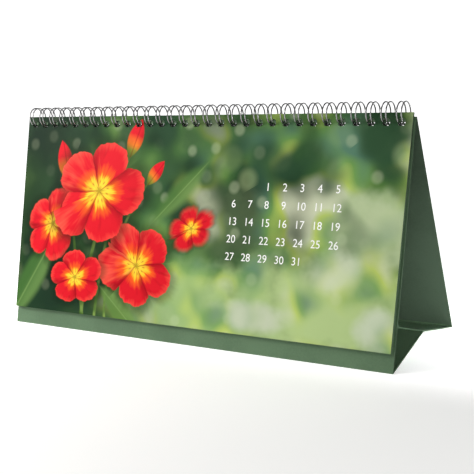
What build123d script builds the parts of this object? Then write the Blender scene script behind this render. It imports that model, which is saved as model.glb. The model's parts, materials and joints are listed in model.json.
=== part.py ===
from build123d import *
from math import asin, atan2, cos, hypot, radians, sin, tan
import os

# An easel desk calendar. A creased board stands as a tent, and a twin-loop wire along its top
# edge carries a picture cover and a block of loose leaves that turn over to the back.
# Millimetres: +X runs along the wire, -Y is the front and +Z is up. The origin lies on the desk,
# under the wire, halfway between the front and the rear foot.

# Easel board: the crease lines are the axes of its folds
board_width = 268.0
board_thickness = 0.5
foot_span = 77.4
apex_rise = 124.4
ridge_rise = 10.2
crease_rise = 0.2
top_setback = 0.15
lip_height = 1.35
lip_clearance = 0.15
crease_clearance = 0.15
front_least_angle = 26.0
ridge_least_angle = 56.6

# Twin-loop wire
wire_diameter = 0.8
loop_diameter = 12.0
loop_pitch = 8.467
loop_margin = 7.0
twin_spacing = 2.6
loop_lift = 0.35
root_bend = 1.2
link_bend = 1.3
leg_length = 0.3
leg_clearance = 0.25
tip_angle = 12.25

# Punched holes
hole_side_clearance = 0.4
leaf_hole_clearance = 0.65
board_hole_clearance = 1.0
board_hole_shift = 0.33
hole_corner = 0.9

# Cover and leaves: they turn about a line a little above the middle of the loops
sheet_inset = 1.0
strip_height = 10.1
cover_thickness = 0.2
leaf_thickness = 0.06
leaf_gap = 0.012
leaf_count = 14
block_clearance = 0.15
turn_lift = 0.9
edge_drop = 0.8
leaf_fan = 0.05

# Cuts run past the walls by this much
overrun = 2.0

# Worked out from the sizes above
half_board = board_thickness / 2
half_span = foot_span / 2
lean = atan2(half_span, apex_rise)
base_slope = atan2(ridge_rise, half_span)
slant = hypot(half_span, apex_rise)
flap_length = hypot(half_span, ridge_rise)
crease_angle = radians(90) - lean - base_slope
apex_z = crease_rise + apex_rise
outer_apex_z = apex_z + half_board / sin(lean)
loop_z = outer_apex_z + loop_lift
loop_radius = (loop_diameter - wire_diameter) / 2
turn_z = loop_z + turn_lift
loop_count = round((board_width - 2 * loop_margin) / loop_pitch) + 1
sheet_width = board_width - 2 * sheet_inset
sheet_height = slant + (turn_z - apex_z) * cos(lean) - edge_drop - strip_height
board_top = half_board / tan(lean) + top_setback

front_foot = (-half_span, crease_rise)
rear_foot = (half_span, crease_rise)
ridge = (0, crease_rise + ridge_rise)


def along(start, angle, distance, across=0.0):
    """A point of the side view: distance along a direction from start, then across to its left."""
    y = start[0] + distance * cos(angle) - across * sin(angle)
    z = start[1] + distance * sin(angle) + across * cos(angle)
    return (y, z)


def octagon(width, height, corner):
    """Corner points of a punched hole, a rectangle with its corners cut off."""
    x, y = width / 2, height / 2
    right = [(x, corner - y), (x, y - corner), (x - corner, y), (corner - x, y)]
    return right + [(-px, -py) for px, py in right]


def sheet_plane(lean_angle, offset):
    """Plane of a sheet that leans to the front at an offset from the turning line, Y up the sheet."""
    normal = Vector(0, -cos(lean_angle), sin(lean_angle))
    return Plane(origin=Vector(0, 0, turn_z) + normal * offset, x_dir=(1, 0, 0), z_dir=normal)


def board_plane(side):
    """Middle plane of the front board (side -1) or the back board (side 1), from the boards' apex."""
    normal = Vector(0, side * cos(lean), sin(lean))
    return Plane(origin=(0, 0, apex_z), x_dir=(-side, 0, 0), z_dir=normal)


leaf_hole_width = twin_spacing + wire_diameter + 2 * hole_side_clearance
leaf_hole_height = 2 * turn_lift + wire_diameter + 2 * leaf_hole_clearance
leaf_hole = octagon(leaf_hole_width, leaf_hole_height, hole_corner)
board_hole_height = wire_diameter + 2 * board_hole_clearance
board_hole = octagon(leaf_hole_width, board_hole_height, hole_corner)
# The wire crosses the boards a loop radius below the foot of the loops' centre on their middle planes
board_hole_drop = loop_radius - (loop_z - apex_z) * cos(lean) + board_hole_shift

os.makedirs("parts", exist_ok=True)


with BuildSketch() as hole_row:
    with Locations((0, -board_hole_drop)):
        with GridLocations(loop_pitch, loop_pitch, loop_count, 1):
            Polygon(*board_hole)

# Front board: rounded at its bottom crease, with a narrow flat where it stands on the desk
up_front = radians(90) - lean
with BuildPart() as front_board:
    with BuildSketch(Plane.YZ):
        with BuildLine():
            board_length = slant - board_top
            outer_top = along(front_foot, up_front, board_length, half_board)
            inner_top = along(front_foot, up_front, board_length, -half_board)
            inner_foot = along(front_foot, up_front, 0, -half_board)
            lowest = along(front_foot, up_front, -half_board)
            outer_foot = along(front_foot, up_front, 0, half_board)
            Line(outer_top, inner_top)
            Line(inner_top, inner_foot)
            ThreePointArc(inner_foot, lowest, outer_foot)
            Line(outer_foot, outer_top)
        make_face()
    extrude(amount=board_width / 2, both=True)
    split(bisect_by=Plane.XY, keep=Keep.TOP)
    with BuildSketch(board_plane(-1)):
        add(hole_row.sketch)
    extrude(amount=half_board + overrun, both=True, mode=Mode.SUBTRACT)
front_board.part.label = "front_board"
export_step(front_board.part, "parts/front_board.step")

# Back board: it ends just above the lip that the base turns up at its rear crease
down_back = -up_front
with BuildPart() as back_board:
    with BuildSketch(Plane.YZ):
        with BuildLine():
            apex = (0, apex_z)
            back_foot = slant - lip_height - lip_clearance
            Polyline(
                along(apex, down_back, board_top, half_board),
                along(apex, down_back, board_top, -half_board),
                along(apex, down_back, back_foot, -half_board),
                along(apex, down_back, back_foot, half_board),
                close=True,
            )
        make_face()
    extrude(amount=board_width / 2, both=True)
    with BuildSketch(board_plane(1)):
        add(hole_row.sketch)
    extrude(amount=half_board + overrun, both=True, mode=Mode.SUBTRACT)
back_board.part.label = "back_board"
export_step(back_board.part, "parts/back_board.step")

flap_start = half_board + crease_clearance


def bevel(least_angle):
    """Start height and end length of a flap's bevel that clears its neighbour at the least angle."""
    low = (flap_start * sin(least_angle) - flap_start) / cos(least_angle)
    end = (half_board * cos(least_angle) + flap_start) / sin(least_angle)
    return low, end


# Base, front half: bevelled beside the front crease, rounded at the ridge crease
with BuildPart() as base_front_flap:
    with BuildSketch(Plane.YZ):
        with BuildLine():
            bevel_low, bevel_end = bevel(radians(front_least_angle))
            upper_near = along(front_foot, base_slope, bevel_end, half_board)
            upper_far = along(front_foot, base_slope, flap_length, half_board)
            tip = along(front_foot, base_slope, flap_length + half_board)
            lower_far = along(front_foot, base_slope, flap_length, -half_board)
            lower_near = along(front_foot, base_slope, flap_start, -half_board)
            Line(upper_near, upper_far)
            ThreePointArc(upper_far, tip, lower_far)
            Line(lower_far, lower_near)
            Line(lower_near, along(front_foot, base_slope, flap_start, bevel_low))
            Line(along(front_foot, base_slope, flap_start, bevel_low), upper_near)
        make_face()
    extrude(amount=board_width / 2, both=True)
base_front_flap.part.label = "base_front_flap"
export_step(base_front_flap.part, "parts/base_front_flap.step")

# Base, rear half: bevelled under the ridge crease, with a lip turned up at the rear crease
with BuildPart() as base_rear_flap:
    with BuildSketch(Plane.YZ):
        with BuildLine():
            bevel_low, bevel_end = bevel(radians(ridge_least_angle))
            corner_run = half_board / tan(crease_angle / 2)
            up_back = radians(180) - up_front
            under_start = along(ridge, -base_slope, bevel_end, -half_board)
            under_near = along(ridge, -base_slope, flap_start, -bevel_low)
            upper_near = along(ridge, -base_slope, flap_start, half_board)
            inner_corner = along(ridge, -base_slope, flap_length - corner_run, half_board)
            lip_inner = along(rear_foot, up_back, lip_height, half_board)
            lip_outer = along(rear_foot, up_back, lip_height, -half_board)
            heel_outer = along(rear_foot, up_back, 0, -half_board)
            heel = along(rear_foot, (up_back + radians(180) - base_slope) / 2, -half_board)
            heel_under = along(ridge, -base_slope, flap_length, -half_board)
            Polyline(under_start, under_near, upper_near, inner_corner, lip_inner, lip_outer, heel_outer)
            ThreePointArc(heel_outer, heel, heel_under)
            Line(heel_under, under_start)
        make_face()
    extrude(amount=board_width / 2, both=True)
    split(bisect_by=Plane.XY, keep=Keep.TOP)
base_rear_flap.part.label = "base_rear_flap"
export_step(base_rear_flap.part, "parts/base_rear_flap.step")

# Twin-loop wire: hairpins bent round into loops, their tips in the front board's holes, and links
# that join each hairpin to the next behind the front board
leg_offset = -(loop_lift * sin(lean) + board_thickness + wire_diameter / 2 + leg_clearance)
bend_reach = loop_radius + root_bend
root_angle = lean + asin((leg_offset - root_bend) / bend_reach)
leg_top = bend_reach * cos(root_angle - lean)
leg_bottom = leg_top + leg_length
link_depth = leg_bottom + link_bend
tip_bend = twin_spacing / 2
arm_angle = radians(tip_angle) + atan2(tip_bend, loop_radius)
sweep_angle = radians(360) + root_angle - arm_angle
arc_count = 4
arc_shares = (0, 0.5, 1)


def loop_point(x, angle, radius=loop_radius):
    """Point round the loops' centre line, its angle measured from the bottom towards the front."""
    return Vector(x, -radius * sin(angle), loop_z - radius * cos(angle))


def behind_board(x, depth, offset):
    """Point beside the front board: a depth down its slope, an offset in front of the loops' centre."""
    y = -depth * sin(lean) - offset * cos(lean)
    return Vector(x, y, loop_z - depth * cos(lean) + offset * sin(lean))


def root_to_tip(x):
    """Edges of one arm of a hairpin, from its leg up and round the loop to its tip, as point triples."""
    centre = loop_point(x, root_angle, bend_reach)
    leg_end = behind_board(x, leg_top, leg_offset)
    start = loop_point(x, root_angle)
    middle = ((leg_end - centre).normalized() + (start - centre).normalized()).normalized()
    arm = [(behind_board(x, leg_bottom, leg_offset), None, leg_end)]
    arm.append((leg_end, centre + middle * root_bend, start))
    step = sweep_angle / arc_count
    for arc in range(arc_count):
        angles = [root_angle - step * (arc + share) for share in arc_shares]
        arm.append(tuple(loop_point(x, angle) for angle in angles))
    return arm


def tip_turn(x):
    """Edges of the narrow turn at a hairpin's tip, in the plane that touches the loop there."""
    forward = Vector(0, cos(arm_angle), -sin(arm_angle)) * tip_bend
    sideways = Vector(tip_bend, 0, 0)
    centre = loop_point(x, arm_angle)
    points = [centre - sideways * cos(turn) + forward * sin(turn) for turn in quarter_turns]
    return [tuple(points[0:3]), tuple(points[2:5])]


def link_turn(x_from, x_to):
    """Edges of the wide turn between two hairpins, from a leg down, along the row and up the next leg."""
    down = behind_board(0, leg_bottom + link_bend, leg_offset) - behind_board(0, leg_bottom, leg_offset)
    sideways = Vector(link_bend, 0, 0)
    first = behind_board(x_from, leg_bottom, leg_offset) + sideways
    last = behind_board(x_to, leg_bottom, leg_offset) - sideways
    turn_in = [first - sideways * cos(turn) + down * sin(turn) for turn in quarter_turns[0:3]]
    turn_out = [last - sideways * cos(turn) + down * sin(turn) for turn in quarter_turns[2:5]]
    return [tuple(turn_in), (turn_in[2], None, turn_out[0]), tuple(turn_out)]


quarter_turns = [radians(45) * step for step in range(5)]
route = []
for loop in range(loop_count):
    middle_x = (loop - (loop_count - 1) / 2) * loop_pitch
    left_x, right_x = middle_x - tip_bend, middle_x + tip_bend
    if loop:
        route += link_turn(left_x - loop_pitch + twin_spacing, left_x)
    arm_back = [(end, mid, start) for start, mid, end in reversed(root_to_tip(right_x))]
    route += root_to_tip(left_x) + tip_turn(middle_x) + arm_back

with BuildPart() as binding_wire:
    with BuildLine() as wire_path:
        for start, mid, end in route:
            if mid is None:
                Line(start, end)
            else:
                ThreePointArc(start, mid, end)
    wire_start = Plane(origin=wire_path.line @ 0, z_dir=wire_path.line % 0)
    with BuildSketch(wire_start):
        Circle(wire_diameter / 2)
    sweep(path=wire_path.wires()[0])
binding_wire.part.label = "binding_wire"
export_step(binding_wire.part, "parts/binding_wire.step")

# Least gap of the wire to itself, measured on points of two neighbouring loops
sample_shares = [step / 12 for step in range(12)]
neighbours = wire_path.wires()[0].edges()[: 2 * (2 * (arc_count + 2) + 2) + 3]
points = []
travelled = 0.0
for edge in neighbours:
    points += [(travelled + share * edge.length, edge @ share) for share in sample_shares]
    travelled += edge.length
apart = 4 * wire_diameter
gaps = [(a - b).length for i, (da, a) in enumerate(points) for db, b in points[i:] if db - da > apart]
print("binding_wire least gap to itself", round(min(gaps) - wire_diameter, 2), "mm")


def sheet(name, thickness, offset, fan):
    """One punched sheet: its inner face at an offset from the turning line, fanned out by an angle."""
    with BuildPart() as punched_sheet:
        with BuildSketch(sheet_plane(lean + radians(fan), offset)):
            with Locations((0, -edge_drop - sheet_height / 2)):
                Rectangle(sheet_width, sheet_height)
            with Locations((0, -loop_radius)):
                with GridLocations(loop_pitch, loop_pitch, loop_count, 1):
                    Polygon(*leaf_hole, mode=Mode.SUBTRACT)
        extrude(amount=thickness)
    punched_sheet.part.label = name
    export_step(punched_sheet.part, f"parts/{name}.step")
    return punched_sheet.part


# Leaves from the last one, next to the board, out to the cover
block_offset = block_clearance - (turn_z - outer_apex_z) * sin(lean)
leaf_step = leaf_thickness + leaf_gap
for place in range(leaf_count):
    leaf_name = f"leaf_{leaf_count - place:02d}"
    sheet(leaf_name, leaf_thickness, block_offset + place * leaf_step, place * leaf_fan)
sheet("cover", cover_thickness, block_offset + leaf_count * leaf_step, leaf_count * leaf_fan)
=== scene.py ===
"""Looks of an easel desk calendar: punched board, twin-loop wire, picture cover and loose leaves."""

import json
import math

import bmesh
import bpy
from bpy.props import FloatProperty, FloatVectorProperty, IntProperty, PointerProperty
from mathutils import Matrix, Vector


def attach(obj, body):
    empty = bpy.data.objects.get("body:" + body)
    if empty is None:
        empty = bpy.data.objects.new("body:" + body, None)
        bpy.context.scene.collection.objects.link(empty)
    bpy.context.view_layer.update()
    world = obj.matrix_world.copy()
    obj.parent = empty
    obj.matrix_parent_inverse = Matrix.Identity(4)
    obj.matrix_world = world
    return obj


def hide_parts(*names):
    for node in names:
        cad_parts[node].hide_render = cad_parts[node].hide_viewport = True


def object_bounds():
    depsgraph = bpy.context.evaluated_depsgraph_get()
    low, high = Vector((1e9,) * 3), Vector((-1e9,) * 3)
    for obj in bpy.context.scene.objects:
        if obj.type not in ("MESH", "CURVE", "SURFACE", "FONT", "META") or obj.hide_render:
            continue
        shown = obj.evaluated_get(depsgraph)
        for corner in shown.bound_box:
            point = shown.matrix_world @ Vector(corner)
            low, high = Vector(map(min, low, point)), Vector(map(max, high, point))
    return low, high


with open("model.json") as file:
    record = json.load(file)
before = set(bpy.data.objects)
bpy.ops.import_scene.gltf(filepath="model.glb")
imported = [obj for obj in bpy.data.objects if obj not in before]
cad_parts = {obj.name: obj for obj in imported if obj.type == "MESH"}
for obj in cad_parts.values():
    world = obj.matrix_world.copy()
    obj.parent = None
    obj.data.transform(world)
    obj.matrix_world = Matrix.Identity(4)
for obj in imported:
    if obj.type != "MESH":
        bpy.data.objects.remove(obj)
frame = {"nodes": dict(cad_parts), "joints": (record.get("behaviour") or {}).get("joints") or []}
CAD_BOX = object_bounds()

bl_info = {
    "name": "Desk Calendar",
    "version": (1, 0, 0),
    "blender": (4, 5, 0),
    "location": "View3D > Sidebar > Calendar",
    "description": "Dresses a packed easel desk calendar and sets up its studio",
    "category": "Object",
}

LEAVES = sorted(name for name in frame["nodes"] if name.startswith("leaf_"))
JOINTS = {joint["name"]: joint for joint in frame["joints"]}
TURN_LINE = Vector(JOINTS["cover_turn"]["pos_m"])
FRONT, REAR = Vector((0, -1, 0)), Vector((0, 1, 0))
ACROSS, UPWARD = Vector((1, 0, 0)), Vector((0, 0, 1))
BOARD_HALF = CAD_BOX[1][0]
COVER_HALF = max(vert.co.x for vert in frame["nodes"]["cover"].data.vertices)
NUMBER_CORNER = (0.030, 0.021)
INK_LIFT, INK_DEPTH = 0.00002, 0.000008
BEAD_INSET = 0.0001
BOWL_RADIUS, BOWL_WALL, BOWL_ROUNDING = 3.0, 3.0, 0.6
SENSOR = 36


class CalendarSizes(bpy.types.PropertyGroup):
    """Sizes of the wire, the holes, the crease and the print."""

    wire_diameter: FloatProperty(name="Wire", description="Thickness of the wire", default=0.0008, unit="LENGTH")
    loop_diameter: FloatProperty(name="Loop", description="Outside of a loop", default=0.012, unit="LENGTH")
    loop_pitch: FloatProperty(name="Pitch", description="Step from loop to loop", default=0.008467, unit="LENGTH")
    loop_count: IntProperty(name="Loops", description="Loops along the wire", default=31, min=2)
    twin_spacing: FloatProperty(
        name="Twin", description="Gap between a loop's two arms", default=0.0026, unit="LENGTH"
    )
    turn_lift: FloatProperty(
        name="Turn lift", description="Turning line of the sheets above the loops' middle",
        default=0.0009, unit="LENGTH",
    )
    root_bend: FloatProperty(name="Root bend", description="Bend below each loop", default=0.0012, unit="LENGTH")
    link_bend: FloatProperty(name="Link bend", description="Bend between two loops", default=0.0013, unit="LENGTH")
    leg_length: FloatProperty(
        name="Leg", description="Straight run below a root bend", default=0.0003, unit="LENGTH"
    )
    leg_clearance: FloatProperty(name="Leg gap", description="Air behind the board", default=0.00025, unit="LENGTH")
    tip_angle: FloatProperty(
        name="Tip", description="Where a loop's tip ends, from the bottom",
        default=math.radians(12.25), subtype="ANGLE",
    )
    crease_bead: FloatProperty(
        name="Crease bead", description="Pressed bead along the ridge", default=0.00085, unit="LENGTH"
    )
    hole_corner: FloatProperty(name="Hole corner", description="Rounding of a hole", default=0.0013, unit="LENGTH")
    number_height: FloatProperty(
        name="Numbers", description="Size of the day numbers", default=0.0062, unit="LENGTH"
    )
    number_pitch: FloatVectorProperty(
        name="Number pitch", description="Step of the day numbers across and down",
        default=(0.0108, 0.0098), size=2, unit="LENGTH",
    )


class CalendarColours(bpy.types.PropertyGroup):
    """Colours of the board, the paper, the wire and the print."""

    board: FloatVectorProperty(
        name="Board", description="Printed board", default=(0.112, 0.190, 0.106), subtype="COLOR"
    )
    board_dark: FloatVectorProperty(
        name="Board, dark", description="Board's darker mottle", default=(0.090, 0.155, 0.086), subtype="COLOR"
    )
    board_worn: FloatVectorProperty(
        name="Board, worn", description="Rubbed creases", default=(0.16, 0.24, 0.15), subtype="COLOR"
    )
    paper: FloatVectorProperty(
        name="Paper", description="Leaf paper", default=(0.83, 0.81, 0.74), subtype="COLOR"
    )
    rule: FloatVectorProperty(
        name="Rule", description="Ruled lines of the leaves", default=(0.30, 0.42, 0.28), subtype="COLOR"
    )
    wire: FloatVectorProperty(
        name="Wire", description="Plated wire", default=(0.31, 0.31, 0.31), subtype="COLOR"
    )
    petal: FloatVectorProperty(
        name="Petal", description="Outer petal", default=(0.62, 0.010, 0.020), subtype="COLOR"
    )
    petal_inner: FloatVectorProperty(
        name="Petal, inner", description="Middle of a petal", default=(0.84, 0.11, 0.014), subtype="COLOR"
    )
    eye: FloatVectorProperty(
        name="Eye", description="Middle of a blossom", default=(0.95, 0.52, 0.03), subtype="COLOR"
    )
    floor: FloatVectorProperty(
        name="Floor", description="Studio floor", default=(0.88, 0.88, 0.87), subtype="COLOR"
    )


class StudioSettings(bpy.types.PropertyGroup):
    """Camera and lights."""

    camera_place: FloatVectorProperty(
        name="Camera", description="Place of the camera",
        default=(0.34914, -0.47647, 0.19244), size=3, subtype="TRANSLATION",
    )
    camera_angles: FloatVectorProperty(
        name="Angles", description="Azimuth, elevation and roll of the camera", size=3, subtype="EULER",
        default=(math.radians(35.492), math.radians(18.476), math.radians(-5.45)),
    )
    lens: FloatProperty(name="Lens", description="Focal length in millimetres", default=1018.73 / 474 * SENSOR)
    shift: FloatVectorProperty(name="Shift", description="Framing of the picture", default=(0.009, 0.197), size=2)
    key: FloatProperty(name="Key", description="Power of the key light", default=3.5, unit="POWER")
    top: FloatProperty(name="Top", description="Power of the top light", default=3.0, unit="POWER")
    side: FloatProperty(
        name="Side", description="Power of the low light beside the tent", default=0.14, unit="POWER"
    )
    glow: FloatProperty(name="Glow", description="Light given by the floor far from the calendar", default=1.0)
    sky: FloatProperty(name="Sky", description="Strength of the even light", default=0.09)


class Wired:
    """A shader socket that takes part in Python arithmetic."""

    def __init__(self, shader, socket):
        self.shader, self.socket = shader, socket

    def __add__(self, other):
        return self.shader.maths("ADD", self, other)

    def __sub__(self, other):
        return self.shader.maths("SUBTRACT", self, other)

    def __rsub__(self, other):
        return self.shader.maths("SUBTRACT", other, self)

    def __mul__(self, other):
        return self.shader.maths("MULTIPLY", self, other)

    def __truediv__(self, other):
        return self.shader.maths("DIVIDE", self, other)

    def __rtruediv__(self, other):
        return self.shader.maths("DIVIDE", other, self)

    def __pow__(self, other):
        return self.shader.maths("POWER", self, other)

    __radd__, __rmul__ = __add__, __mul__


class Shader:
    """A material whose nodes are added by name, with a Principled surface at the end."""

    def __init__(self, name, **surface):
        self.material = bpy.data.materials.new(name)
        self.material.use_nodes = True
        self.tree = self.material.node_tree
        self.tree.nodes.clear()
        self.surface = self.tree.nodes.new("ShaderNodeBsdfPrincipled")
        output = self.tree.nodes.new("ShaderNodeOutputMaterial")
        self.tree.links.new(self.surface.outputs[0], output.inputs["Surface"])
        for socket, value in surface.items():
            self.set(self.surface.inputs[socket.replace("_", " ")], value)
        self.place = self.node("ShaderNodeTexCoord", out="Object")

    def set(self, socket, value):
        """Links a value into a socket, or stores a plain number or colour there."""
        if isinstance(value, Wired):
            self.tree.links.new(value.socket, socket)
        elif socket.type == "RGBA":
            socket.default_value = (*value[:3], 1.0)
        else:
            socket.default_value = value

    def node(self, kind, settings=None, values=None, out=0):
        """Adds one node: its settings first, then the values or links of its sockets."""
        node = self.tree.nodes.new(kind)
        for name, value in (settings or {}).items():
            if name == "stops":
                while len(node.color_ramp.elements) < len(value):
                    node.color_ramp.elements.new(1.0)
                for element, (position, colour) in zip(node.color_ramp.elements, value):
                    element.position, element.color = position, (*colour[:3], 1.0)
            else:
                setattr(node, name, value)
        for socket, value in (values or {}).items():
            self.set(node.inputs[socket], value)
        return Wired(self, node.outputs[out])

    def finish(self, **surface):
        """Links the last values into the surface and gives the material back."""
        for socket, value in surface.items():
            self.set(self.surface.inputs[socket.replace("_", " ")], value)
        return self.material

    def maths(self, operation, *values):
        return self.node("ShaderNodeMath", {"operation": operation}, dict(enumerate(values)))

    def along(self, direction, start=0.0):
        """Distance along a direction from a start, in millimetres."""
        values = {0: self.place, 1: Vector(direction) * 1000}
        spread = self.node("ShaderNodeVectorMath", {"operation": "DOT_PRODUCT"}, values, "Value")
        return spread - start * 1000 if start else spread

    def point(self, x, y, z=0.0):
        return self.node("ShaderNodeCombineXYZ", None, {0: x, 1: y, 2: z})

    def noise(self, vector, scale, detail=2.0, roughness=0.5, out="Fac"):
        values = {"Vector": vector, "Scale": scale, "Detail": detail, "Roughness": roughness}
        return self.node("ShaderNodeTexNoise", None, values, out)

    def smooth(self, value, low, high):
        """0 below low and 1 above high, with a soft step between them."""
        values = {"Value": value, "From Min": low, "From Max": high}
        return self.node("ShaderNodeMapRange", {"interpolation_type": "SMOOTHSTEP"}, values)

    def band(self, value, low, high, blur):
        """1 between low and high and 0 outside, with both steps softened by a blur."""
        return self.smooth(value, low - blur, low + blur) * self.smooth(value, high + blur, high - blur)

    def mix(self, share, first, second):
        return self.node("ShaderNodeMix", {"data_type": "RGBA"}, {0: share, 6: first, 7: second}, 2)

    def ramp(self, value, *stops):
        return self.node("ShaderNodeValToRGB", {"stops": stops}, {0: value}, "Color")

    def bump(self, height, strength, distance):
        values = {"Height": height, "Strength": strength, "Distance": distance}
        return self.node("ShaderNodeBump", None, values, "Normal")

    def cells(self, values, out):
        return self.node("ShaderNodeTexVoronoi", {"voronoi_dimensions": "2D"}, values, out)


class Blossom:
    """One five-petalled blossom of the print: middle, radius, first petal, facing, softness and seed."""

    def __init__(self, x, y, radius, first, facing, squash, blur, seed):
        self.x, self.y, self.radius, self.first, self.blur, self.seed = x, y, radius, first, blur, seed
        self.cos, self.sin, self.squash = math.cos(facing), math.sin(facing), squash

    def paint(self, shader, under, x, y, grain, colours):
        """Lays the blossom over the colour under it and gives the new colour."""
        s = shader
        dx, dy = x - self.x + grain * 3.0, y - self.y + grain * 2.4
        u, v = dx * self.cos + dy * self.sin, (dy * self.cos - dx * self.sin) / self.squash
        reach = s.maths("SQRT", u * u + v * v)
        sector = s.maths("ARCTAN2", v, u) * (5 / math.tau) + self.first
        petal = s.maths("FLOOR", sector)
        side = sector - petal - 0.5
        draw = {"W": petal * 1.37 + self.seed}
        luck = s.node("ShaderNodeTexWhiteNoise", {"noise_dimensions": "1D"}, draw, "Value")
        spread = s.maths("ABSOLUTE", side)
        ruffle = s.noise(s.point(side * 7.0, petal * 5.0 + self.seed), 1.0, 2.0) - 0.5
        outline = (1 - (spread ** 2.6) * 1.5 + ruffle * 0.16) * (luck * 0.22 + 0.88) * self.radius
        share = reach / outline
        mask = s.smooth(outline - reach, -self.blur, self.blur)
        vein = s.noise(s.point(side * 26.0, share * 1.3, petal * 7.0 + self.seed), 1.0, 3.0) - 0.5
        fold = s.noise(s.point(side * 5.0, share * 1.8, petal * 3.0 + self.seed), 1.0, 1.0) - 0.5
        tone = share + vein * 0.22 + fold * 0.3
        colour = s.ramp(
            tone, (0.04, (0.42, 0.30, 0.02)), (0.12, (0.93, 0.62, 0.05)), (0.27, colours.eye),
            (0.38, colours.petal_inner), (0.58, colours.petal), (0.86, colours.petal), (1.0, (0.76, 0.05, 0.04)),
        )
        lap = s.smooth(side + fold * 0.2, 0.16, 0.5) * 0.62 + s.smooth(spread, 0.43, 0.5) * 0.22
        lap = s.maths("MINIMUM", lap + s.smooth(fold, 0.05, 0.3) * 0.35, 0.8)
        colour = s.mix(lap, colour, (0.24, 0.003, 0.008))
        glow = (dy - dx * 0.7) * (0.24 / self.radius) + (luck - 0.5) * 0.3 - fold * 0.9 + vein * 0.3
        colour = s.mix(s.smooth(glow, 0.08, 0.55) * 0.6, colour, (0.90, 0.17, 0.09))
        ring, ray = s.maths("ABSOLUTE", share - 0.2), s.maths("ABSOLUTE", spread - 0.2)
        seeds = s.smooth(ring, 0.07, 0.0) * s.smooth(ray, 0.1, 0.02)
        colour = s.mix(seeds * 0.8, colour, (0.42, 0.16, 0.02))
        shade = s.smooth(outline - reach, -self.radius * 0.3, 0.0) * 0.55
        return s.mix(mask, s.mix(shade, under, (0.006, 0.014, 0.006)), colour)


def held(objects):
    """Links new objects into the scene's own collection."""
    for thing in objects:
        bpy.context.scene.collection.objects.link(thing)


def piece(name, mesh_builder, body, materials, replaced=()):
    """Turns a bmesh into a named piece that rides on a body and stands for CAD nodes."""
    mesh = bpy.data.meshes.new(name)
    mesh_builder.to_mesh(mesh)
    mesh_builder.free()
    thing = bpy.data.objects.new(name, mesh)
    held([thing])
    for material in materials:
        mesh.materials.append(material)
    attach(thing, body)
    if replaced:
        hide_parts(*replaced)
    return thing


class SheetFrame:
    """Plane, extents and row of holes of a flat CAD node, in the node's own across, up and out directions."""

    def __init__(self, node, outward, pitch):
        mesh = frame["nodes"][node].data
        face = max((p for p in mesh.polygons if p.normal.dot(outward) > 0.5), key=lambda p: p.area)
        self.out = face.normal.copy()
        across = ACROSS if self.out.y < 0 else -ACROSS
        self.up = self.out.cross(across)
        self.turn = Matrix((across, self.up, self.out)).transposed().to_4x4()
        spots = [Vector((v.co.dot(across), v.co.dot(self.up), v.co.dot(self.out))) for v in mesh.vertices]
        self.low = Vector(min(s[i] for s in spots) for i in range(3))
        self.high = Vector(max(s[i] for s in spots) for i in range(3))
        self.thickness = self.high.z - self.low.z
        middle = (self.low.y + self.high.y) / 2
        rims = [s for s in spots if middle < s.y < self.high.y - 1e-4]
        self.hole_low, self.hole_high = min(s.y for s in rims), max(s.y for s in rims)
        self.hole_half = max(abs(s.x - round(s.x / pitch) * pitch) for s in rims)


def panel(builder, low, high):
    """Adds a flat rectangle and gives its vertices."""
    place = Matrix.Translation(((low[0] + high[0]) / 2, (low[1] + high[1]) / 2, 0))
    size = Matrix.Diagonal((high[0] - low[0], high[1] - low[1], 1, 1))
    return bmesh.ops.create_grid(builder, x_segments=1, y_segments=1, size=0.5, matrix=place @ size)["verts"]


def punched_sheet(plane, sizes, rounded_foot=False):
    """A sheet or board with its row of round-cornered holes: material 0 in front, 1 behind and 2 on its edges."""
    bm = bmesh.new()
    panel(bm, plane.low, plane.high)
    bmesh.ops.delete(bm, geom=bm.faces[:], context="FACES_ONLY")
    sides = set(bm.edges)
    first = -(sizes.loop_count - 1) / 2 * sizes.loop_pitch
    hole = panel(bm, (first - plane.hole_half, plane.hole_low), (first + plane.hole_half, plane.hole_high))
    corner = min(sizes.hole_corner, (plane.hole_high - plane.hole_low) * 0.45)
    bmesh.ops.bevel(bm, geom=hole, offset=corner, affect="VERTICES", segments=5, profile=0.5, material=-1)
    bmesh.ops.delete(bm, geom=bm.faces[:], context="FACES_ONLY")
    rim = [edge for edge in bm.edges if edge not in sides]
    rim_verts = list({vert for edge in rim for vert in edge.verts})
    for place in range(1, sizes.loop_count):
        copy = bmesh.ops.duplicate(bm, geom=rim_verts + rim)["geom"]
        moved = [item for item in copy if isinstance(item, bmesh.types.BMVert)]
        bmesh.ops.translate(bm, vec=(place * sizes.loop_pitch, 0, 0), verts=moved)
    bmesh.ops.triangle_fill(bm, use_beauty=True, edges=bm.edges[:], normal=(0, 0, 1))
    bmesh.ops.translate(bm, vec=(0, 0, plane.high.z), verts=bm.verts[:])
    wall = bmesh.ops.extrude_face_region(bm, geom=bm.faces[:])["geom"]
    back = [item for item in wall if isinstance(item, bmesh.types.BMVert)]
    bmesh.ops.translate(bm, vec=(0, 0, -plane.thickness), verts=back)
    bmesh.ops.recalc_face_normals(bm, faces=bm.faces[:])
    if rounded_foot:
        foot = [e for e in bm.edges if all(v.co.y < plane.low.y + 1e-5 for v in e.verts) and e.calc_length() > 0.1]
        half = plane.thickness * 0.49
        bmesh.ops.bevel(bm, geom=foot, offset=half, affect="EDGES", segments=5, profile=0.5, material=-1)
    for face in bm.faces:
        face.material_index = 0 if face.normal.z > 0.7 else 1 if face.normal.z < -0.7 else 2
    bm.transform(plane.turn)
    return bm


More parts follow.
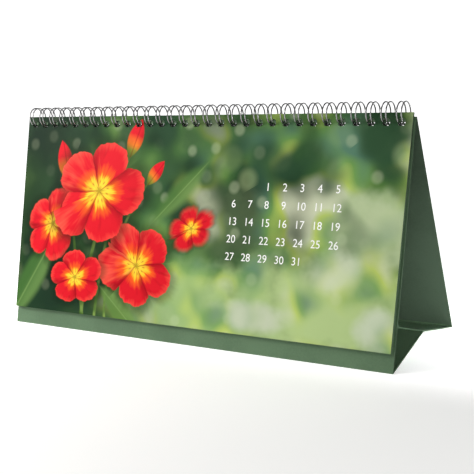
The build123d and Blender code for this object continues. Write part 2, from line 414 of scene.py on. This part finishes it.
def board_material(name, colours, share, gloss):
    """Board in a share of each colour channel, a smaller share making a darker copy as painted shade: fine grain,
    faint mottle, rubbed foot and cut ends darkened as painted shade.
    """
    s = Shader(name, Specular_IOR_Level=gloss)
    fibres = s.noise(s.place, 900.0, 3.0, 0.6)
    cloud = s.noise(s.place, 26.0, 3.0)
    fine = s.noise(s.place, 2600.0, 2.0)
    shades = colours.board_dark, colours.board, colours.board_worn
    dark, plain, worn = ([c * k for c, k in zip(shade, share)] for shade in shades)
    colour = s.mix(s.smooth(cloud * 0.7 + fibres * 0.3, 0.36, 0.64), dark, plain)
    rub = s.smooth(s.along(UPWARD) + (fibres - 0.5) * 0.9, 0.75, 0.1) * 0.55
    colour = s.mix(rub, colour, worn)
    # Painted shade: the board darkens close to its left and right ends, so the flaps' end faces stay dark where the
    # lamps reach them.
    half = BOARD_HALF * 1000
    ends = s.smooth(s.maths("ABSOLUTE", s.along(ACROSS)), half - 0.12, half - 0.02)
    colour = s.mix(ends, colour, [c * 0.4 for c in colours.board_dark])
    rough = 0.50 + (fibres - 0.5) * 0.16 + (cloud - 0.5) * 0.1
    return s.finish(Base_Color=colour, Roughness=rough, Normal=s.bump(fine * 0.5 + fibres, 0.12, 0.00012))


def edge_material(name, tint):
    """Cut edge of the board or tinted edge of the sheets: pressed fibres in thin layers, in a dark share of the
    tint that also paints the shade along edges and in the holes.
    """
    s = Shader(name, Specular_IOR_Level=0.1)
    layers = s.noise(s.place, 1800.0, 4.0, 0.7)
    # Dark green edge tint, deepened as painted shade on cut edges, sheet edges and hole walls.
    colour = s.mix(s.smooth(layers, 0.35, 0.7), [c * 0.35 for c in tint], [c * 0.6 for c in tint])
    return s.finish(Base_Color=colour, Roughness=0.7 + (layers - 0.5) * 0.2, Normal=s.bump(layers, 0.3, 0.0001))


def wire_material(colours):
    """Plated wire: grey metal with fine drawing lines and a few duller places."""
    s = Shader("wire_nickel", Metallic=1.0)
    cloud = s.noise(s.place, 420.0, 3.0)
    lines = s.noise(s.place, 3600.0, 2.0)
    colour = s.mix(s.smooth(cloud, 0.35, 0.75), colours.wire, [c * 0.78 for c in colours.wire])
    return s.finish(Base_Color=colour, Roughness=0.2 + (cloud - 0.4) * 0.16, Normal=s.bump(lines, 0.05, 0.00004))


def tinted_rim(s):
    """Mask of the narrow rim along a sheet's left and right edges where the dark edge colour runs onto the paper, a
    tint that also paints shade.
    """
    half = COVER_HALF * 1000
    return s.smooth(s.maths("ABSOLUTE", s.along(ACROSS)), half - 1.3, half - 0.7)


def paper_material(colours):
    """Uncoated paper, seen on edges and backs."""
    s = Shader("paper_plain", Specular_IOR_Level=0.25)
    fibres = s.noise(s.place, 1400.0, 4.0, 0.6)
    cloud = s.noise(s.place, 60.0, 2.0)
    mottle = s.smooth(cloud * 0.5 + fibres * 0.5, 0.35, 0.7)
    colour = s.mix(mottle, [c * 0.93 for c in colours.paper], colours.paper)
    # Edge tint and painted shade: the paper's left and right rims turn dark board green.
    colour = s.mix(tinted_rim(s), colour, colours.board_dark)
    return s.finish(Base_Color=colour, Roughness=0.78 + (fibres - 0.5) * 0.15, Normal=s.bump(fibres, 0.1, 0.00006))


def ruled_material(colours, up):
    """Front of a leaf: paper with a tinted head band and ruled lines for a day's notes."""
    s = Shader("leaf_ruled", Specular_IOR_Level=0.25)
    fibres = s.noise(s.place, 1400.0, 4.0, 0.6)
    x, depth = s.along(ACROSS), s.along(-up, -TURN_LINE.dot(up))
    paper = s.mix(s.smooth(fibres, 0.35, 0.7), [c * 0.95 for c in colours.paper], colours.paper)
    edge, line_step = 0.1, 9.5
    inside = s.smooth(s.maths("ABSOLUTE", x), 122 + edge, 122 - edge)
    step = s.maths("ABSOLUTE", s.maths("FRACT", depth / line_step) - 0.5)
    lines = s.smooth(step, 0.014, 0.008) * s.band(depth, 34, 116, edge) * inside
    band = s.band(depth, 14, 24, edge) * inside
    colour = s.mix(lines * 0.6, paper, colours.rule)
    colour = s.mix(band * 0.85, colour, colours.rule)
    # Edge tint and painted shade: the leaf's left and right rims turn dark board green.
    colour = s.mix(tinted_rim(s), colour, colours.board_dark)
    return s.finish(Base_Color=colour, Roughness=0.74 + (fibres - 0.5) * 0.15, Normal=s.bump(fibres, 0.1, 0.00006))


def ink_material():
    """White printing ink of the day numbers."""
    s = Shader("ink_white", Specular_IOR_Level=0.4)
    grain = s.noise(s.place, 1500.0, 2.0)
    return s.finish(Base_Color=s.mix(grain, (0.86, 0.86, 0.84), (0.93, 0.93, 0.92)), Roughness=0.38 + grain * 0.08)


def stroke(s, x, y, curve, width, low, high, blur):
    """Mask of a stem: a strip whose middle follows x = curve(y), between two heights."""
    a, b, c = curve
    offset = s.maths("ABSOLUTE", x - (y * b + (y * y) * c + a))
    return s.smooth(offset, width + blur, width - blur) * s.band(y, low, high, blur)


def lozenge(s, x, y, middle, half, turn, blur):
    """Mask, lengthwise and sidewise share of a bud or a blade: a pointed oval, turned about its middle."""
    cos, sin = math.cos(turn), math.sin(turn)
    dx, dy = x - middle[0], y - middle[1]
    across, length = (dx * cos + dy * sin) / half[0], (dy * cos - dx * sin) / half[1]
    bulge = 1 - length * length
    return s.smooth(bulge - s.maths("ABSOLUTE", across), -blur, blur), length, across


def print_material(colours, up, middle):
    """Picture of red blossoms before a soft green garden, drawn in millimetres from the cover's middle."""
    s = Shader("cover_print", Specular_IOR_Level=0.02)
    x, y = s.along(ACROSS), s.along(up, middle)
    spot = s.point(x, y)
    broad, mid = s.noise(spot, 0.015, 1.0), s.noise(s.point(x, y, 40.0), 0.036, 1.0)
    grain = s.noise(s.point(x, y, 120.0), 0.09, 2.0) - 0.5
    colour = s.ramp(
        broad * 0.5 + mid * 0.5, (0.34, (0.003, 0.010, 0.007)), (0.43, (0.012, 0.038, 0.015)),
        (0.51, (0.045, 0.115, 0.030)), (0.59, (0.130, 0.250, 0.060)), (0.68, (0.290, 0.430, 0.160)),
    )
    for centre, half, tint, strength in (
        ((92, -44), (80, 40), (0.44, 0.57, 0.25), 0.95), ((10, -54), (66, 34), (0.36, 0.50, 0.22), 0.9),
        ((116, 0), (40, 26), (0.50, 0.58, 0.36), 0.8), ((34, 48), (66, 26), (0.022, 0.060, 0.026), 0.8),
        ((-112, 46), (44, 24), (0.008, 0.024, 0.012), 0.9), ((-124, 8), (20, 36), (0.030, 0.075, 0.022), 0.8),
        ((-96, 16), (30, 26), (0.050, 0.120, 0.045), 0.5), ((110, 42), (36, 20), (0.085, 0.160, 0.075), 0.7),
        ((30, 0), (44, 26), (0.100, 0.150, 0.070), 0.6), ((100, -22), (24, 15), (0.64, 0.68, 0.53), 0.7),
        ((46, -50), (30, 11), (0.60, 0.61, 0.54), 0.6), ((124, -50), (15, 15), (0.62, 0.66, 0.58), 0.6),
        ((-92, -58), (60, 22), (0.024, 0.062, 0.030), 0.8),
    ):
        dx, dy = (x - centre[0]) / half[0], (y - centre[1]) / half[1]
        colour = s.mix(s.smooth(dx * dx + dy * dy + grain * 0.9, 1.1, 0.05) * strength, colour, tint)
    hue = s.ramp(
        s.noise(s.point(x, y, 260.0), 0.034, 1.0), (0.36, (0.090, 0.200, 0.140)), (0.47, (0.150, 0.310, 0.080)),
        (0.56, (0.470, 0.580, 0.110)), (0.66, (0.640, 0.670, 0.480)),
    )
    patch = s.smooth(s.noise(s.point(x, y, 200.0), 0.046, 0.6), 0.34, 0.70) * s.smooth(x - y * 0.8, -70, 50)
    colour = s.mix(patch * 0.8, colour, hue)
    deep = s.smooth(s.noise(s.point(x, y, 320.0), 0.042, 0.6), 0.46, 0.72) * s.smooth(y - x * 0.25, -70, 10)
    colour = s.mix(deep * 0.85, colour, (0.022, 0.062, 0.028))
    for scale, light, strength in ((0.030, (0.40, 0.52, 0.24), 0.26), (0.058, (0.52, 0.60, 0.38), 0.24)):
        cells = {"Vector": s.point(x + scale * 900, y), "Scale": scale, "Randomness": 0.95}
        rings = s.cells(cells, "Distance")
        luck = s.node("ShaderNodeSeparateColor", None, {0: s.cells(cells, "Color")}, "Red")
        discs = s.smooth(rings + (luck - 0.5) * 0.1, 0.30, 0.14) * s.smooth(luck, 0.5, 0.8)
        colour = s.mix(discs * strength, colour, light)
    colour = s.mix(s.smooth(x + y * 0.3, -10, -110) * 0.62, colour, (0.006, 0.017, 0.010))
    stem_tint = s.mix(s.smooth(grain, -0.2, 0.2), (0.060, 0.130, 0.024), (0.220, 0.330, 0.080))
    for curve, width, low, high, blur in (
        ((-90.6, -0.225, 0.0003), 1.0, -64, 21, 0.5), ((-58.0, 0.218, 0.0014), 1.0, -64, 36, 0.5),
        ((-45.4, 0.517, 0.0051), 0.9, -64, 20, 0.5), ((-66.0, 0.30, 0.0020), 1.2, -64, 0, 0.6),
    ):
        colour = s.mix(stroke(s, x, y, curve, width, low, high, blur), colour, stem_tint)
    for centre, half, turn, tint, blur in (
        ((-120, -40), (9, 36), -0.55, (0.050, 0.130, 0.030), 0.3),
        ((-46, -56), (6, 22), 0.9, (0.100, 0.200, 0.045), 0.25),
        ((-8, 16), (6, 24), -0.8, (0.070, 0.160, 0.038), 0.5),
    ):
        blade, _, across = lozenge(s, x, y, centre, half, turn, blur)
        rib = s.smooth(s.maths("ABSOLUTE", across), 0.12, 0.0) * 0.35 + s.smooth(across, -0.4, 0.6) * 0.3
        colour = s.mix(blade * 0.9, colour, s.mix(rib, tint, (0.24, 0.38, 0.12)))
    for centre, half, turn in (
        ((-44, 47), (5.6, 12.5), -0.35), ((-99, 33), (6.0, 13.5), 0.3), ((-27, 27), (4.2, 9.5), -0.7),
    ):
        bud, length, across = lozenge(s, x, y, centre, half, turn, 0.1)
        shade = s.ramp(
            length * 0.5 + 0.5 + grain * 0.3, (0.0, (0.10, 0.20, 0.03)), (0.20, (0.30, 0.30, 0.03)),
            (0.36, (0.82, 0.20, 0.02)), (0.62, colours.petal),
        )
        fold = s.smooth(s.maths("ABSOLUTE", across - 0.15), 0.16, 0.0) * 0.5 + s.smooth(across, 0.2, 0.9) * 0.4
        colour = s.mix(bud, colour, s.mix(fold, shade, (0.26, 0.004, 0.008)))
    for bloom in (
        Blossom(2, -4, 16, 0.35, 0.4, 0.8, 2.8, 31.0), Blossom(-106, -6, 25, 0.10, 0.9, 0.80, 0.8, 11.0),
        Blossom(-36, -28, 29, 0.42, -0.5, 0.86, 0.45, 23.0), Blossom(-70, 15, 36, 0.78, 0.35, 0.88, 0.35, 5.0),
        Blossom(-84, -38, 23, 0.20, 0.1, 0.78, 0.4, 47.0),
    ):
        colour = bloom.paint(s, colour, x, y, grain, colours)
    press = s.noise(s.place, 2200.0, 2.0)
    return s.finish(Base_Color=colour, Roughness=0.36 + (press - 0.5) * 0.06, Normal=s.bump(press, 0.04, 0.00003))


class CALENDAR_OT_boards(bpy.types.Operator):
    """Makes the punched front and back boards of the easel, finishes the two base flaps and presses their ridge"""

    bl_idname = "calendar.boards"
    bl_label = "Easel Boards"

    def execute(self, context):
        sizes, colours = context.scene.calendar_sizes, context.scene.calendar_colours
        skin = board_material("board_green", colours, (1, 1, 1), 0.16)
        # Painted shade: a darker, cooler copy of the board for the inner faces of the tent.
        inside = board_material("board_inside_shaded", colours, (0.74, 0.66, 0.78), 0.1)
        edge = edge_material("board_cut_edge", colours.board_dark)
        for node, outward, body in (("front_board", FRONT, "front"), ("back_board", REAR, "back")):
            plane = SheetFrame(node, outward, sizes.loop_pitch)
            bm = punched_sheet(plane, sizes, rounded_foot=node == "front_board")
            for face in bm.faces:
                if face.material_index == 2 and abs(face.normal.x) < 0.7 and face.calc_center_median().z < 0.01:
                    face.material_index = 0
            if node == "front_board":
                whole = bm.verts[:] + bm.edges[:] + bm.faces[:]
                bmesh.ops.bisect_plane(bm, geom=whole, plane_co=(0, 0, 0), plane_no=-UPWARD, clear_outer=True)
                bmesh.ops.holes_fill(bm, edges=[e for e in bm.edges if e.is_boundary], sides=0)
            piece(node + "_card", bm, body, [skin, inside, edge], [node])
        for node in ("base_front_flap", "base_rear_flap"):
            for slot in frame["nodes"][node].material_slots:
                slot.material = skin
        bm = bmesh.new()
        along = Matrix.Translation(JOINTS["ridge_fold"]["pos_m"]) @ Matrix.Rotation(math.pi / 2, 4, "Y")
        bead, length = sizes.crease_bead / 2, 2 * (BOARD_HALF - BEAD_INSET)
        bmesh.ops.create_cone(
            bm, cap_ends=True, segments=20, radius1=bead, radius2=bead, depth=length, matrix=along
        )
        for face in bm.faces:
            face.smooth = len(face.verts) == 4
        # The bead wears the dark edge material: painted shade along the ridge crease.
        piece("ridge_crease_bead", bm, "base_front", [edge])
        return {"FINISHED"}


class CALENDAR_OT_wire(bpy.types.Operator):
    """Bends the twin-loop wire out of one round section, loop after loop"""

    bl_idname = "calendar.wire"
    bl_label = "Twin-Loop Wire"

    def execute(self, context):
        sizes = context.scene.calendar_sizes
        board = SheetFrame("front_board", FRONT, sizes.loop_pitch)
        out, up = board.out, board.up
        hub = TURN_LINE - Vector((0, 0, sizes.turn_lift))
        lean = math.atan2(out.z, -out.y)
        radius = (sizes.loop_diameter - sizes.wire_diameter) / 2
        leg_offset = board.low.z - hub.dot(out) - sizes.wire_diameter / 2 - sizes.leg_clearance
        reach = radius + sizes.root_bend
        root = lean + math.asin((leg_offset - sizes.root_bend) / reach)
        leg_top = reach * math.cos(root - lean)
        twin = sizes.twin_spacing / 2
        arm = sizes.tip_angle + math.atan2(twin, radius)
        sweep, bend = math.tau + root - arm, math.pi / 2 - lean + root

        def round_hub(angle, far):
            return hub + Vector((0, -math.sin(angle), -math.cos(angle))) * far

        first = -(sizes.loop_count - 1) / 2 * sizes.loop_pitch
        left, middle, right = (ACROSS * (first + step) for step in (-twin, 0, twin))
        foot = hub - up * (leg_top + sizes.leg_length) + out * leg_offset
        bm = bmesh.new()
        start = Matrix.Translation(foot + left) @ Matrix((ACROSS, up.cross(ACROSS), up)).transposed().to_4x4()
        bmesh.ops.create_circle(bm, cap_ends=False, radius=sizes.wire_diameter / 2, segments=12, matrix=start)
        ring = bm.verts[:] + bm.edges[:]

        def push(ring, vector):
            rim = [item for item in ring if isinstance(item, bmesh.types.BMEdge)]
            grown = bmesh.ops.extrude_edge_only(bm, edges=rim)["geom"]
            verts = [item for item in grown if isinstance(item, bmesh.types.BMVert)]
            edges = [item for item in grown if isinstance(item, bmesh.types.BMEdge)]
            bmesh.ops.translate(bm, vec=vector, verts=verts)
            return verts + [edge for edge in edges if all(vert in verts for vert in edge.verts)]

        def turn(ring, centre, axis, angle, steps):
            return bmesh.ops.spin(
                bm, geom=ring, cent=centre, axis=axis, angle=angle, steps=steps, use_duplicate=False
            )["geom_last"]

        ring = push(ring, up * sizes.leg_length)
        ring = turn(ring, round_hub(root, reach) + left, -ACROSS, bend, 6)
        ring = turn(ring, hub + left, ACROSS, sweep, 40)
        ring = turn(ring, round_hub(arm, radius) + middle, Vector((0, -math.sin(arm), -math.cos(arm))), math.pi, 10)
        ring = turn(ring, hub + right, -ACROSS, sweep, 40)
        ring = turn(ring, round_hub(root, reach) + right, ACROSS, bend, 6)
        ring = push(ring, up * -sizes.leg_length)
        hairpin = bm.verts[:] + bm.edges[:] + bm.faces[:]
        link = sizes.loop_pitch - sizes.twin_spacing - 2 * sizes.link_bend
        ring = turn(ring, foot + right + ACROSS * sizes.link_bend, out, math.pi / 2, 5)
        ring = push(ring, ACROSS * link)
        ring = turn(ring, foot + right + ACROSS * (sizes.link_bend + link), out, math.pi / 2, 5)
        linked = bm.verts[:] + bm.edges[:] + bm.faces[:]
        for place in range(1, sizes.loop_count):
            source = hairpin if place == sizes.loop_count - 1 else linked
            copy = bmesh.ops.duplicate(bm, geom=source)["geom"]
            moved = [item for item in copy if isinstance(item, bmesh.types.BMVert)]
            bmesh.ops.translate(bm, vec=ACROSS * (sizes.loop_pitch * place), verts=moved)
        bmesh.ops.remove_doubles(bm, verts=bm.verts[:], dist=2e-6)
        bmesh.ops.holes_fill(bm, edges=[e for e in bm.edges if e.is_boundary], sides=0)
        bmesh.ops.recalc_face_normals(bm, faces=bm.faces[:])
        for face in bm.faces:
            face.smooth = len(face.verts) == 4
        nickel = wire_material(context.scene.calendar_colours)
        piece("twin_loop_wire", bm, "front", [nickel], ["binding_wire"])
        return {"FINISHED"}


class CALENDAR_OT_cover(bpy.types.Operator):
    """Makes the picture cover with its punched edge"""

    bl_idname = "calendar.cover"
    bl_label = "Picture Cover"

    def execute(self, context):
        sizes, colours = context.scene.calendar_sizes, context.scene.calendar_colours
        plane = SheetFrame("cover", FRONT, sizes.loop_pitch)
        middle = (plane.low.y + plane.high.y) / 2
        picture, paper = print_material(colours, plane.up, middle), paper_material(colours)
        materials = [picture, paper, edge_material("sheet_edge", colours.board)]
        piece("picture_cover", punched_sheet(plane, sizes), "cover", materials, ["cover"])
        return {"FINISHED"}


class CALENDAR_OT_numbers(bpy.types.Operator):
    """Prints a month's plain day numbers on the cover"""

    bl_idname = "calendar.numbers"
    bl_label = "Day Numbers"

    def execute(self, context):
        sizes = context.scene.calendar_sizes
        plane = SheetFrame("cover", FRONT, sizes.loop_pitch)
        middle = (plane.low.y + plane.high.y) / 2
        corner = Vector((NUMBER_CORNER[0], middle + NUMBER_CORNER[1], plane.high.z + INK_LIFT))
        bm = bmesh.new()
        for day in range(1, 32):
            words = bpy.data.curves.new("day", "FONT")
            words.body, words.size, words.extrude = str(day), sizes.number_height, INK_DEPTH
            words.align_x, words.align_y, words.resolution_u = "CENTER", "CENTER", 4
            text = bpy.data.objects.new("day", words)
            held([text])
            context.view_layer.update()
            ink = bpy.data.meshes.new_from_object(text.evaluated_get(context.evaluated_depsgraph_get()))
            column, row = (day + 1) % 7, (day + 1) // 7
            place = corner + Vector((column * sizes.number_pitch[0], -row * sizes.number_pitch[1], 0))
            ink.transform(plane.turn @ Matrix.Translation(place))
            bm.from_mesh(ink)
            bpy.data.objects.remove(text)
            bpy.data.curves.remove(words)
            bpy.data.meshes.remove(ink)
        bmesh.ops.remove_doubles(bm, verts=bm.verts[:], dist=1e-7)
        piece("day_numbers", bm, "cover", [ink_material()])
        return {"FINISHED"}


class CALENDAR_OT_leaves(bpy.types.Operator):
    """Makes the loose leaves behind the cover"""

    bl_idname = "calendar.leaves"
    bl_label = "Loose Leaves"

    def execute(self, context):
        sizes, colours = context.scene.calendar_sizes, context.scene.calendar_colours
        planes = {node: SheetFrame(node, FRONT, sizes.loop_pitch) for node in LEAVES}
        ruled = ruled_material(colours, planes[LEAVES[len(LEAVES) // 2]].up)
        materials = [ruled, bpy.data.materials["paper_plain"], bpy.data.materials["sheet_edge"]]
        for node, plane in planes.items():
            piece(node + "_sheet", punched_sheet(plane, sizes), node, materials, [node])
        return {"FINISHED"}


class CALENDAR_OT_studio(bpy.types.Operator):
    """Lays the floor and sets the lights and the camera"""

    bl_idname = "calendar.studio"
    bl_label = "Studio"

    def lamp(self, name, place, target, size, power, tint, spread=math.pi):
        light = bpy.data.lights.new(name, "AREA")
        light.energy, light.color, light.shape, light.size, light.spread = power, tint, "DISK", size, spread
        lamp = bpy.data.objects.new(name, light)
        lamp.location = place
        lamp.rotation_euler = (Vector(target) - Vector(place)).to_track_quat("-Z", "Y").to_euler()
        held([lamp])

    def execute(self, context):
        scene, studio = context.scene, context.scene.calendar_studio
        azimuth, elevation, roll = studio.camera_angles
        bm = bmesh.new()
        bmesh.ops.create_circle(bm, cap_ends=True, radius=BOWL_RADIUS, segments=64)
        rim = bm.edges[:]
        grown = bmesh.ops.extrude_edge_only(bm, edges=rim)["geom"]
        wall = [item for item in grown if isinstance(item, bmesh.types.BMVert)]
        bmesh.ops.translate(bm, vec=UPWARD * BOWL_WALL, verts=wall)
        bmesh.ops.bevel(
            bm, geom=rim, offset=BOWL_ROUNDING, affect="EDGES", segments=10, profile=0.5, material=-1
        )
        bmesh.ops.recalc_face_normals(bm, faces=bm.faces[:])
        bmesh.ops.reverse_faces(bm, faces=[f for f in bm.faces if f.normal.z < -0.5])
        for face in bm.faces:
            face.smooth = True
        mesh = bpy.data.meshes.new("studio_floor")
        bm.to_mesh(mesh)
        bm.free()
        floor = bpy.data.objects.new("studio_floor", mesh)
        held([floor])
        s = Shader("floor_pale", Specular_IOR_Level=0.2)
        cloud = s.noise(s.place, 3.0, 2.0)
        pale, height = scene.calendar_colours.floor, s.along(UPWARD)
        tint = s.mix(cloud, [c * 0.985 for c in pale], pale)
        tint = s.mix(s.smooth(height, 20.0, 300.0), tint, (0.10, 0.10, 0.10))
        reach = s.maths("SQRT", s.along(ACROSS) ** 2.0 + s.along(REAR) ** 2.0)
        # Painted light: the floor glows though it is no lamp, more behind and beside the calendar than in front,
        # washing out its shadow and lighting the tent from below.
        near = s.mix(s.smooth(s.along(REAR), -70.0, 0.0), (0.26, 0.26, 0.26), (0.74, 0.74, 0.74))
        glow = s.mix(s.smooth(reach, 150.0, 700.0), near, (1.0, 1.0, 1.0))
        glow = s.mix(s.smooth(height, 300.0, 900.0), glow, (0.10, 0.102, 0.105))
        s.set(s.surface.inputs["Emission Strength"], studio.glow)
        mesh.materials.append(s.finish(Base_Color=tint, Roughness=0.75 + cloud * 0.1, Emission_Color=glow))

        world = bpy.data.worlds.new("even_light")
        world.use_nodes = True
        sky = world.node_tree.nodes["Background"].inputs
        sky["Color"].default_value = (0.95, 0.98, 1.0, 1.0)
        sky["Strength"].default_value = studio.sky
        scene.world = world
        white, cone = (1.0, 1.0, 1.0), math.radians(36)
        self.lamp("key_light", (-0.44, -0.30, 0.36), (-0.02, 0.0, 0.05), 0.3, studio.key, (1.0, 0.985, 0.96))
        self.lamp("side_light", (0.45, -0.016, 0.03), (0.12, 0.034, 0.012), 0.03, studio.side, white, cone)
        self.lamp("top_light", (-0.2, -0.1, 1.2), (0.0, 0.0, 0.0), 0.6, studio.top, white)

        right = Vector((math.cos(azimuth), math.sin(azimuth), 0))
        level_back = Vector((math.sin(azimuth), -math.cos(azimuth), 0))
        back = level_back * math.cos(elevation) + UPWARD * math.sin(elevation)
        up = back.cross(right)
        level, high = right * math.cos(roll) + up * math.sin(roll), up * math.cos(roll) - right * math.sin(roll)
        lens = bpy.data.cameras.new("camera")
        lens.sensor_width, lens.lens = SENSOR, studio.lens
        lens.shift_x, lens.shift_y = studio.shift
        lens.clip_start = 0.01
        camera = bpy.data.objects.new("camera", lens)
        turned = Matrix((level, high, back)).transposed().to_4x4()
        camera.matrix_world = Matrix.Translation(studio.camera_place) @ turned
        held([camera])
        scene.camera = camera
        scene.view_settings.view_transform = "Standard"
        return {"FINISHED"}


class CALENDAR_PT_sidebar(bpy.types.Panel):
    """Lists the steps that dress the calendar"""

    bl_label = "Desk Calendar"
    bl_idname = "CALENDAR_PT_sidebar"
    bl_space_type = "VIEW_3D"
    bl_region_type = "UI"
    bl_category = "Calendar"

    def draw(self, context):
        for operator in OPERATORS:
            self.layout.operator(operator.bl_idname)
        for group in ("calendar_sizes", "calendar_colours", "calendar_studio"):
            settings = getattr(context.scene, group)
            box = self.layout.box()
            for name in settings.__annotations__:
                box.prop(settings, name)


OPERATORS = (
    CALENDAR_OT_boards, CALENDAR_OT_wire, CALENDAR_OT_cover,
    CALENDAR_OT_numbers, CALENDAR_OT_leaves, CALENDAR_OT_studio,
)
GROUPS = {"calendar_sizes": CalendarSizes, "calendar_colours": CalendarColours, "calendar_studio": StudioSettings}


def register():
    for part in (*GROUPS.values(), *OPERATORS, CALENDAR_PT_sidebar):
        bpy.utils.register_class(part)
    for name, group in GROUPS.items():
        setattr(bpy.types.Scene, name, PointerProperty(type=group))


def unregister():
    for name in GROUPS:
        delattr(bpy.types.Scene, name)
    for part in (CALENDAR_PT_sidebar, *reversed(OPERATORS), *GROUPS.values()):
        bpy.utils.unregister_class(part)


def main():
    """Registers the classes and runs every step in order."""
    register()
    for operator in OPERATORS:
        group, step = operator.bl_idname.split(".")
        getattr(getattr(bpy.ops, group), step)()


if __name__ == "__main__":
    main()
